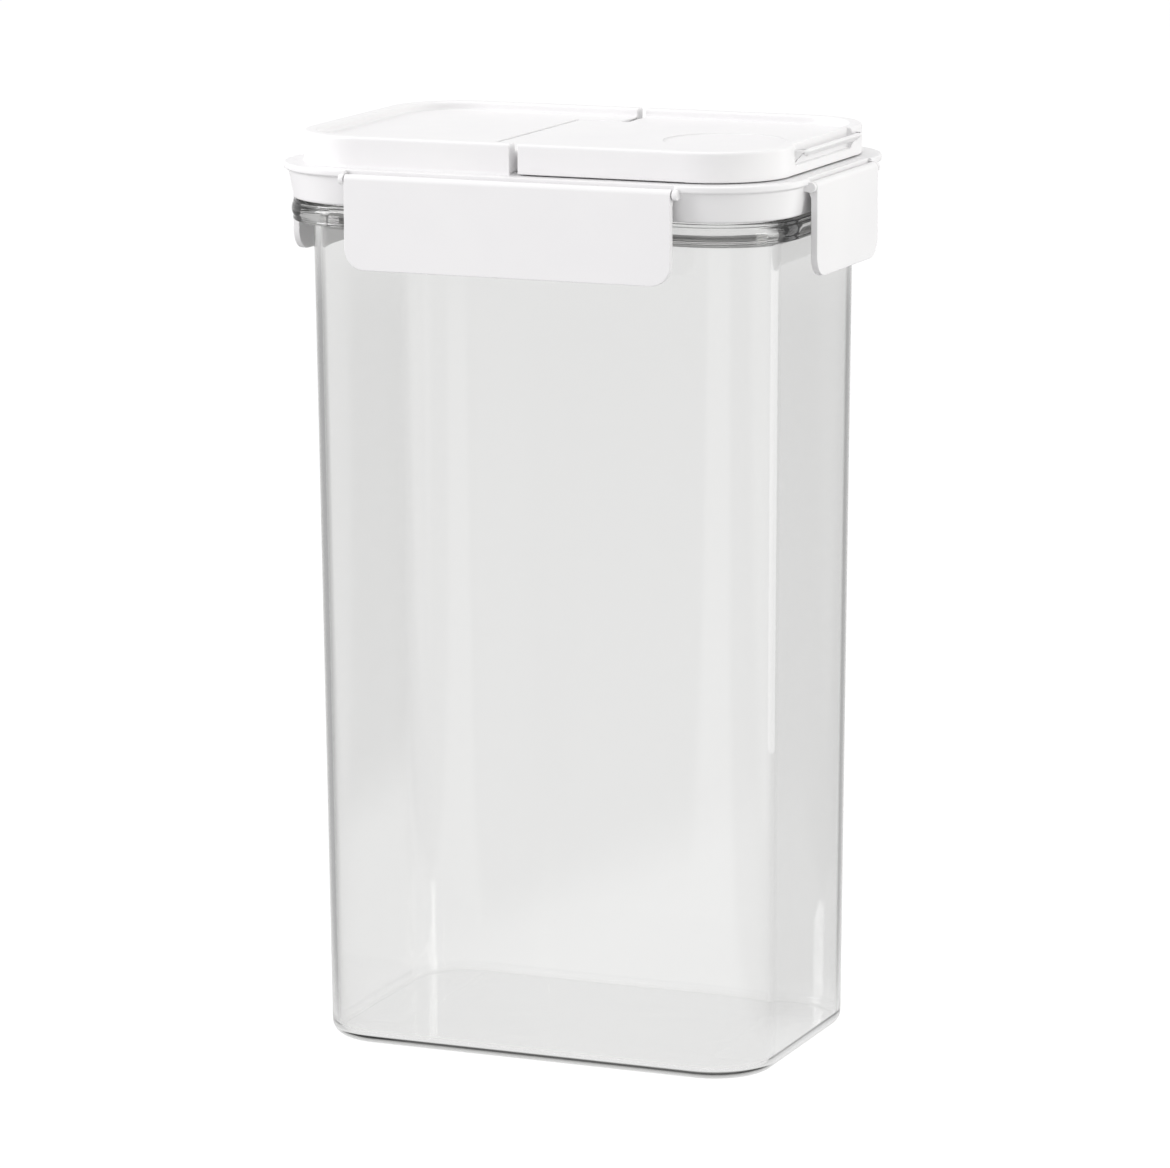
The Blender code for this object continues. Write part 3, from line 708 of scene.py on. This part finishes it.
# %% [markdown]
# The lip leaves the end wall low down and curves outwards, faster towards the top, so that a
# fingertip finds it. It is a stack whose plan grows by a power curve, cut off inside the wall.

# %% The pull lip
PULL_STEPS = 8
PULL_CURVE = 1.6                 # over one, so the lip flares most near its top
PULL_CENTRE = 0.070              # the stack's middle, well inside the cap
PULL_CORNER = 0.0048
PULL_NARROWING = 0.0015
PULL_RISE, PULL_SINK, PULL_EDGE = 0.0014, 0.0006, 0.0008


def pull_lip():
    """A lip that flares out of the cap's end wall, farthest at its top, with round ends."""
    root = TIER_PLAN[0] / 2 - LID_WALL / 2
    low = CAP_SEAM + PULL_RISE
    start = TIER_PLAN[0] / 2 - PULL_SINK
    steps = []
    for step in range(PULL_STEPS + 1):
        part = step / PULL_STEPS
        tip = start + (PULL_TIP - start) * part ** PULL_CURVE
        half = PULL_HALF + PULL_NARROWING - PULL_NARROWING * part
        steps.append(((2 * (tip - PULL_CENTRE), 2 * half, PULL_CORNER),
                      low + (PULL_TOP - PULL_EDGE - low) * part))
    steps.append(((2 * (PULL_TIP - PULL_CENTRE), 2 * PULL_HALF, PULL_CORNER), PULL_TOP))
    return piece("pull_lip", keep_side(stack(steps, PULL_CENTRE), root, 1))


# %% [markdown]
# The cap starts from the same raised top as the fixed half, hollowed from below. The tongue
# is a plate at the level of the pan, and under it two barrels hang on short blocks.

# %% The cap
KNUCKLE_BLOCK = 0.9              # a block's half width, as a part of the barrel's radius
KNUCKLE_SINK = 0.0009            # how far the blocks end below the tongue's top

cap_shell = piece("cap_shell", keep_side(raised_top(CAP_SEAM, 0.0), SPLIT_RIGHT, 1))
shape(cap_shell, [inner_hollow(SPLIT_RIGHT + LID_WALL, 1, UNDER_TOP)], "DIFFERENCE")
tongue = block((TONGUE_END, -TONGUE_HALF, PAN_UNDER),
               (SPLIT_RIGHT + LID_WALL / 2, TONGUE_HALF, PAN_FLOOR))
shape(cap_shell, [tongue], "UNION")
shape(cap_shell, [block((-TONGUE_WAY, -TONGUE_HALF, UNDER_ALL),
                        (SPLIT_RIGHT + 2 * LID_WALL, TONGUE_HALF, PAN_UNDER))], "DIFFERENCE")
knuckles = []
for sign in (-1, 1):
    first, last = sorted((sign * KNUCKLE_FROM, sign * (TONGUE_HALF - GAP)))
    knuckles.append(bar(KNUCKLE, CAP_AXIS + Vector((0, first, 0)), CAP_AXIS + Vector((0, last, 0))))
    knuckles.append(block((CAP_AXIS.x - KNUCKLE_BLOCK * KNUCKLE, first, CAP_AXIS.z),
                          (CAP_AXIS.x + KNUCKLE_BLOCK * KNUCKLE, last, PAN_FLOOR - KNUCKLE_SINK)))
shape(cap_shell, [pull_lip(), *knuckles], "UNION")
print("the cap has", len(cap_shell.data.polygons), "faces")

# %% [markdown]
# A slot behind the lip makes room for a fingertip. The dish is a shallow round cut, only deep
# enough to be felt, and its edge gets the same fine bevel as every other edge.

# %% Slot, dish and bore
SLOT_FROM, SLOT_TO, SLOT_HALF, SLOT_FLOOR = 0.0832, 0.0874, 0.0260, 0.3015
DISH_TOOL = Vector((0, 0, 0.01))
PIN_WAY = Vector((0, 0.04, 0))   # longer than the tongue is wide

slot = block((SLOT_FROM, -SLOT_HALF, SLOT_FLOOR), (SLOT_TO, SLOT_HALF, OVER_ALL))
dish_centre = Vector((DISH_CENTRE, 0, PAN_FLOOR - DISH_DEPTH))
dish = bar(DISH_RADIUS, dish_centre, dish_centre + DISH_TOOL, 96)
pin_bore = bar(pin_radius + GAP, CAP_AXIS - PIN_WAY, CAP_AXIS + PIN_WAY)
shape(cap_shell, [slot, dish, pin_bore], "DIFFERENCE")
install(soften(cap_shell), "cap", satin_white, "flip_cap")

# %% [markdown]
# ## Latches
# A latch is one flap with a rolled top edge, which turns on the pin, and a rib inside that
# snaps under the bead. Its section is drawn once, pushed out to the latch's width, and the
# two lower corners are rounded afterwards, so that long and short latches share one recipe.

# %% The latches' section and rib
PLATE = 0.0023                   # thickness of the flap
ROLL_END = -18.3                 # the rolled edge ends at this angle, in degrees
ROLL_FOOT = -0.0040              # and meets the flap at this height below the pin
RIB_EDGE = 0.0005


def latch_section():
    """The flap's section: a rolled top edge and a straight flap below it."""
    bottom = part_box("latch_front")[0].z - latch_place("front")[1].translation.z
    roll = arc((0.0, 0.0), BARREL, 180, ROLL_END, 16)
    return roll + [(PLATE - BARREL, ROLL_FOOT), (PLATE - BARREL, bottom), (-BARREL, bottom)]


def latch_rib(half, depth, low, high):
    """The snap rib on the inner face, with sloping sides."""
    inner = PLATE - BARREL
    profile = [(inner - GAP, high), (inner + depth, high - RIB_EDGE),
               (inner + depth, (low + high) / 2), (inner - GAP, low)]
    return piece("rib", pushed(profile, -half, half))


print("a latch's section has", len(latch_section()), "points")

# %% [markdown]
# Each latch is made round its own pin and then turned into place, so that one function makes
# all four. Only the width differs, and it is measured on the frame.

# %% Four latches
CORNER = 0.0070                  # radius of the two lower corners
RIB_INSET = 0.008                # the rib ends this far from each side of the flap
RIB_LOW, RIB_HIGH = -0.02015, -0.01675       # heights below the pin
BORE_PAST = 0.01
LATCH_EDGE = 0.00028             # wider, two edges would fold over the barrel's thin wall
SAME_HEIGHT, SAME_X = 1e-5, 1e-6


def make_latch(side):
    """Build one latch where it sits, and let it ride on its own body."""
    half, matrix = latch_place(side)
    bm = pushed(latch_section(), -half, half)
    lowest = min(vert.co.z for vert in bm.verts)
    corners = [edge for edge in bm.edges
               if all(vert.co.z < lowest + SAME_HEIGHT for vert in edge.verts)
               and abs(edge.verts[0].co.x - edge.verts[1].co.x) < SAME_X]
    bmesh.ops.bevel(bm, geom=corners, offset=CORNER, offset_type="OFFSET", affect="EDGES",
                    segments=12, profile=0.5, material=-1)
    bmesh.ops.recalc_face_normals(bm, faces=bm.faces)
    latch = piece(f"{side}_flap", bm)
    low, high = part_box(f"latch_{side}")
    depth = (high - low)[1 if side in ("front", "back") else 0] - PLATE
    shape(latch, [latch_rib(half - RIB_INSET, depth, RIB_LOW, RIB_HIGH)], "UNION")
    shape(latch, [bar(BORE, (-half - BORE_PAST, 0, 0), (half + BORE_PAST, 0, 0), 20)], "DIFFERENCE")
    latch.data.transform(matrix)
    return install(soften(latch, LATCH_EDGE, 3), f"{side}_latch", satin_white, f"latch_{side}")


for side in SIDES:
    make_latch(side)

# %% [markdown]
# ## Inner plates and seals
# The lid's inner plate carries the spout, and the plate under the cap carries the ring that
# closes it. The spout could be spun, but its opening is a rounded rectangle, so it is a stack
# too, fused to the plate, and the mouth is cut through both at once.

# %% The liner's plate and wall
LINER_CORNER, LINER_PLATE = 0.0225, 0.0016
SINK = 0.0003                    # a fused part starts this far inside the plate
SMALL_EDGE = 0.0002

liner_low, liner_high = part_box("lid_liner")
liner_plan = (liner_high.x - liner_low.x, liner_high.y - liner_low.y, LINER_CORNER)
PLATE_TOP = liner_low.z + LINER_PLATE
GASKET_OUTER, GASKET_INNER = (0.1736, 0.1168, 0.0262), (0.1645, 0.1067, 0.0212)
gasket_low, gasket_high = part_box("lid_gasket")
wall_outer = grown(GASKET_INNER, -GAP)
liner = piece("lid_inner", stack([(liner_plan, liner_low.z), (liner_plan, PLATE_TOP)]))
shape(liner, [straight(wall_outer, liner_low.z + SINK, gasket_high.z)], "UNION")
shape(liner, [straight(grown(wall_outer, -LINER_PLATE), PLATE_TOP, OVER_SPOUT)], "DIFFERENCE")
print("the liner's plate and wall have", len(liner.data.polygons), "faces")

# %% [markdown]
# The spout's rim is rounded, because the seal under the cap presses on it and food slides
# over it. Its mouth widens a little at the bottom, so that nothing catches there.

# %% The spout
RIM_STRAIGHT = 0.0012
MOUTH_FLARE = 0.0010
MOUTH_LOW = 0.2900

spout_steps = [(grown(SPOUT_PLAN, SPOUT_WALL), liner_low.z + SINK)]
spout_steps += [(grown(SPOUT_PLAN, SPOUT_WALL), liner_high.z - RIM_STRAIGHT)]
rim_centre = (0.0, liner_high.z - SPOUT_WALL / 2)
spout_steps += [(grown(SPOUT_PLAN, SPOUT_WALL / 2 + reach), height)
                for reach, height in arc(rim_centre, SPOUT_WALL / 2, 0, 90, 4)]
spout = piece("spout", stack(spout_steps, SPOUT_CENTRE))
shape(liner, [spout], "UNION")
mouth_steps = [(grown(SPOUT_PLAN, MOUTH_FLARE), MOUTH_LOW),
               (grown(SPOUT_PLAN, MOUTH_FLARE), liner_low.z),
               (SPOUT_PLAN, liner_low.z + MOUTH_FLARE), (SPOUT_PLAN, OVER_SPOUT)]
shape(liner, [piece("mouth", stack(mouth_steps, SPOUT_CENTRE))], "DIFFERENCE")
install(soften(liner, SMALL_EDGE), "lid", dull_white, "lid_liner")

# %% [markdown]
# Both seals are silicone rings. One sits round the liner's wall and presses on the neck, and
# the other sits under the cap and presses on the spout. A ring could be swept along a path,
# but a stack with a straight hole through it keeps both its sides parallel.

# %% Seals
SEAL_ROUND = 0.0004
SEAL_LAP = 0.0010                # the cap's ring is this much wider than the spout, each way


def seal(name, outer, inner, low, high, centre_x):
    """A silicone ring with round edges."""
    steps = [(grown(outer, -SEAL_ROUND), low), (outer, low + SEAL_ROUND),
             (outer, high - SEAL_ROUND), (grown(outer, -SEAL_ROUND), high)]
    ring = piece(name, stack(steps, centre_x))
    hole = straight(inner, low - BORE_PAST, high + BORE_PAST, centre_x)
    return shape(ring, [hole], "DIFFERENCE")


lid_ring = seal("lid_ring", GASKET_OUTER, GASKET_INNER, gasket_low.z, gasket_high.z, 0.0)
install(soften(lid_ring, SMALL_EDGE), "lid", milky_silicone, "lid_gasket")
ring_low, ring_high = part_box("flip_cap_seal")
cap_ring = seal("cap_ring", grown(SPOUT_PLAN, SPOUT_WALL + SEAL_LAP),
                grown(SPOUT_PLAN, -SEAL_LAP), ring_low.z, ring_high.z, SPOUT_CENTRE)
install(soften(cap_ring, SMALL_EDGE), "cap", milky_silicone, "flip_cap_seal")

# %% [markdown]
# The plate under the cap has a boss that drops into the spout, inside the ring. The boss
# centres the cap as it closes, so its lower edge is cut back.

# %% The plate under the cap
CAP_PLATE, CAP_PLATE_CORNER = 0.0015, 0.0180
BOSS_GAP, BOSS_EDGE = 0.0013, 0.0006

plate_low, plate_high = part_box("flip_cap_liner")
plate_plan = (plate_high.x - plate_low.x, plate_high.y - plate_low.y, CAP_PLATE_CORNER)
plate_foot = plate_high.z - CAP_PLATE
boss_plan = grown(SPOUT_PLAN, -BOSS_GAP)
boss_steps = [(grown(boss_plan, -BOSS_EDGE), plate_low.z), (boss_plan, plate_low.z + BOSS_EDGE),
              (boss_plan, plate_foot), (boss_plan, plate_high.z - 0.0008)]
plate_steps = [(grown(plate_plan, -FINE_EDGE), plate_foot), (plate_plan, plate_high.z - 0.0012),
               (plate_plan, plate_high.z)]
cap_inner = piece("cap_inner", stack(plate_steps, SPOUT_CENTRE))
shape(cap_inner, [piece("boss", stack(boss_steps, SPOUT_CENTRE))], "UNION")
install(soften(cap_inner, SMALL_EDGE), "cap", dull_white, "flip_cap_liner")

# %% [markdown]
# Five pins carry everything that turns. Each is a length of drawn wire with its ends broken
# by a small bevel, and all of them are held by the lid.

# %% Pins
LATCH_PIN = 0.0008               # radius of the latches' pins


def make_pin(name, node, radius, start, end):
    """A steel pin with rounded ends."""
    pin = bar(radius, start, end, 24, SMALL_EDGE)
    pin.name = name
    return install(soften(pin, 0.0), "lid", drawn_steel, node)


cap_pin_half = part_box("flip_cap_pin")[1].y
make_pin("cap_pin", "flip_cap_pin", pin_radius, CAP_AXIS - Vector((0, cap_pin_half, 0)),
         CAP_AXIS + Vector((0, cap_pin_half, 0)))
for side in SIDES:
    matrix = latch_place(side)[1]
    end = pin_half(side)
    make_pin(f"{side}_pin", f"latch_pin_{side}", LATCH_PIN,
             matrix @ Vector((-end, 0, 0)), matrix @ Vector((end, 0, 0)))

# %% [markdown]
# ## The studio
# A pale floor runs out into an equally pale sky, so that the lens sees no line behind the
# box. Clear plastic on white would vanish, so a studio puts grey cards beside the table: the
# lens does not see them, but the plastic does, and each corner draws a thin grey line. Here
# the floor does that job. A camera ray finds it white, and any other ray finds it grey to
# the left and right of the main line of sight. From other sides the box looks a little
# greyer, which is the price of doing it with the floor.

# %% Helpers for the studio
LINE_OF_SIGHT = math.radians(22.79)          # the camera's turn from the front, to the right
LOBES = ((0, 0.90), (12, 0.88), (21, 0.38), (40, 0.34), (58, 0.72), (90, 0.84))
POLE = 0.34                      # the lobes start this far before and behind the box


def card_pattern(tree, coordinates):
    """Brightness by direction round the object, the same in all four quarters."""
    turn = tree.nodes.new("ShaderNodeMapping")
    turn.vector_type = "POINT"
    turn.inputs["Rotation"].default_value = (0.0, 0.0, -LINE_OF_SIGHT)
    split = tree.nodes.new("ShaderNodeSeparateXYZ")
    tree.links.new(coordinates, turn.inputs["Vector"])
    tree.links.new(turn.outputs["Vector"], split.inputs["Vector"])
    sides = []
    for axis in ("X", "Y"):
        size = tree.nodes.new("ShaderNodeMath")
        size.operation = "ABSOLUTE"
        tree.links.new(split.outputs[axis], size.inputs[0])
        sides.append(size.outputs["Value"])
    along = tree.nodes.new("ShaderNodeMath")
    along.inputs[1].default_value = POLE
    tree.links.new(sides[1], along.inputs[0])
    angle = tree.nodes.new("ShaderNodeMath")
    angle.operation = "ARCTAN2"
    tree.links.new(sides[0], angle.inputs[0])
    tree.links.new(along.outputs["Value"], angle.inputs[1])
    quarter = tree.nodes.new("ShaderNodeMapRange")
    quarter.inputs["From Max"].default_value = math.pi / 2
    tree.links.new(angle.outputs["Value"], quarter.inputs["Value"])
    ramp = tree.nodes.new("ShaderNodeValToRGB")
    ramp.color_ramp.interpolation = "EASE"
    for degrees, _ in LOBES[1:-1]:
        ramp.color_ramp.elements.new(degrees / 90)
    for element, (_, value) in zip(ramp.color_ramp.elements, LOBES):
        element.color = (value, value, value, 1.0)
    tree.links.new(quarter.outputs["Result"], ramp.inputs["Fac"])
    return ramp.outputs["Color"]


# %% [markdown]
# The floor is one big disc. It glows by itself, evenly, and has a trace of real paint that
# takes the shadow. A bright floor lit only by lamps would need lamps far too strong.

# %% Floor
FLOOR_RADIUS, FLOOR_GLOW = 16.0, 0.92
CARDS_END, FAR_FLOOR = (1.6, 2.3), 0.84     # farther out the floor is evenly pale
FLOOR_PAINT = 0.12               # a little real paint, so that a faint shadow grounds the box
floor_mesh = bmesh.new()
bmesh.ops.create_circle(floor_mesh, cap_ends=True, segments=64, radius=FLOOR_RADIUS)
floor = piece("studio_floor", floor_mesh)
floor_paint, tree, shader = new_finish("floor_paint", (FLOOR_PAINT,) * 3, 0.9)
shader.inputs["Specular IOR Level"].default_value = 0.0
seen = tree.nodes.new("ShaderNodeLightPath")
place = tree.nodes.new("ShaderNodeTexCoord")
glow = tree.nodes.new("ShaderNodeMix")
glow.data_type = "RGBA"
glow.inputs["B"].default_value = (1.0, 1.0, 1.0, 1.0)
tree.links.new(seen.outputs["Is Camera Ray"], glow.inputs["Factor"])
distance = tree.nodes.new("ShaderNodeVectorMath")
distance.operation = "LENGTH"
tree.links.new(place.outputs["Object"], distance.inputs[0])
away = tree.nodes.new("ShaderNodeMapRange")
away.interpolation_type = "SMOOTHSTEP"
away.inputs["From Min"].default_value, away.inputs["From Max"].default_value = CARDS_END
tree.links.new(distance.outputs["Value"], away.inputs["Value"])
cards = tree.nodes.new("ShaderNodeMix")
cards.data_type = "RGBA"
cards.inputs["B"].default_value = (FAR_FLOOR, FAR_FLOOR, FAR_FLOOR, 1.0)
tree.links.new(away.outputs["Result"], cards.inputs["Factor"])
tree.links.new(card_pattern(tree, place.outputs["Object"]), cards.inputs["A"])
tree.links.new(cards.outputs["Result"], glow.inputs["A"])
tree.links.new(glow.outputs["Result"], shader.inputs["Emission Color"])
shader.inputs["Emission Strength"].default_value = FLOOR_GLOW
floor.data.materials.append(floor_paint)
print("the grey part of the floor ends between", *CARDS_END, "m")

# %% [markdown]
# The sky is one even white, a little darker to everything but the lens, because a sky at
# full strength would wash out the soft shading on the white mouldings.

# %% Sky
SKY_LIGHT, SKY_SEEN = 0.78, 1.05

world = bpy.data.worlds.new("studio_sky")
bpy.context.scene.world = world
world.use_nodes = True
tree = world.node_tree
sky = tree.nodes["Background"]
seen = tree.nodes.new("ShaderNodeLightPath")
strength = tree.nodes.new("ShaderNodeMapRange")
strength.inputs["To Min"].default_value = SKY_LIGHT
strength.inputs["To Max"].default_value = SKY_SEEN
tree.links.new(seen.outputs["Is Camera Ray"], strength.inputs["Value"])
tree.links.new(strength.outputs["Result"], sky.inputs["Strength"])
sky.inputs["Color"].default_value = (1.0, 1.0, 1.0, 1.0)
print("sky strength:", SKY_LIGHT, "to the box,", SKY_SEEN, "to the lens")

# %% [markdown]
# Three broad soft lamps shape the white mouldings: the key from the left, a weaker one from
# the right, and one overhead. A tall narrow lamp that only reflections see draws the long
# soft highlight down the box's front corner.

# %% Lamps
WHITE = (1.0, 1.0, 1.0)


def softbox(name, place, target, size, power, colour=WHITE):
    """A rectangular area lamp that faces a target."""
    lamp = bpy.data.lights.new(name, "AREA")
    lamp.shape = "RECTANGLE"
    lamp.size, lamp.size_y = size
    lamp.energy = power
    lamp.color = colour
    thing = bpy.data.objects.new(name, lamp)
    bpy.context.scene.collection.objects.link(thing)
    thing.location = place
    thing.rotation_euler = (Vector(target) - Vector(place)).to_track_quat("-Z", "Y").to_euler()
    return thing


middle = (cad_low + cad_high) / 2
softbox("left_lamp", (-1.8, -1.2, 1.1), middle, (1.0, 1.4), 33.0, (1.0, 0.985, 1.0))
right = softbox("right_lamp", (1.9, 0.2, 0.8), middle, (0.8, 1.2), 16.5, (1.0, 1.0, 0.975))
softbox("top_lamp", (-0.4, 0.3, 2.4), middle, (1.6, 1.6), 9.0)
strip = softbox("strip_lamp", (0.36, 0.27, 0.22), (0.06, -0.03, 0.15), (0.18, 0.44), 0.28)
right.visible_glossy = False
strip.visible_camera = False
strip.visible_diffuse = False
strip.visible_transmission = False
BOUNCES = 24                     # light crosses many walls of the clear box
light_paths = bpy.context.scene.cycles
light_paths.max_bounces = light_paths.transmission_bounces = BOUNCES
bpy.context.scene.view_settings.view_transform = "Standard"

# %% [markdown]
# ## The camera
# A long lens from a good distance keeps the box's sides nearly parallel. The camera stands a
# little to the right of the front and a little above the box.

# %% Camera
ELEVATION, ROLL = math.radians(11.0), math.radians(-0.23)
LENS, SENSOR, DISTANCE = 180.9, 36.0, 1.9769
AIM = Vector((-0.0002, 0.0, 0.15346))
back = Vector((math.sin(LINE_OF_SIGHT) * math.cos(ELEVATION),
               -math.cos(LINE_OF_SIGHT) * math.cos(ELEVATION), math.sin(ELEVATION)))
camera_data = bpy.data.cameras.new("camera")
camera_data.lens = LENS
camera_data.sensor_width = SENSOR
camera = bpy.data.objects.new("camera", camera_data)
bpy.context.scene.collection.objects.link(camera)
camera.location = AIM + DISTANCE * back
camera.rotation_mode = "QUATERNION"
turn = (-back).to_track_quat("-Z", "Y")
camera.rotation_quaternion = turn @ Matrix.Rotation(ROLL, 4, "Z").to_quaternion()
camera_data.clip_start, camera_data.clip_end = 0.05, 40.0
bpy.context.scene.camera = camera
print("the camera stands at", [round(part, 2) for part in camera.location], "m")
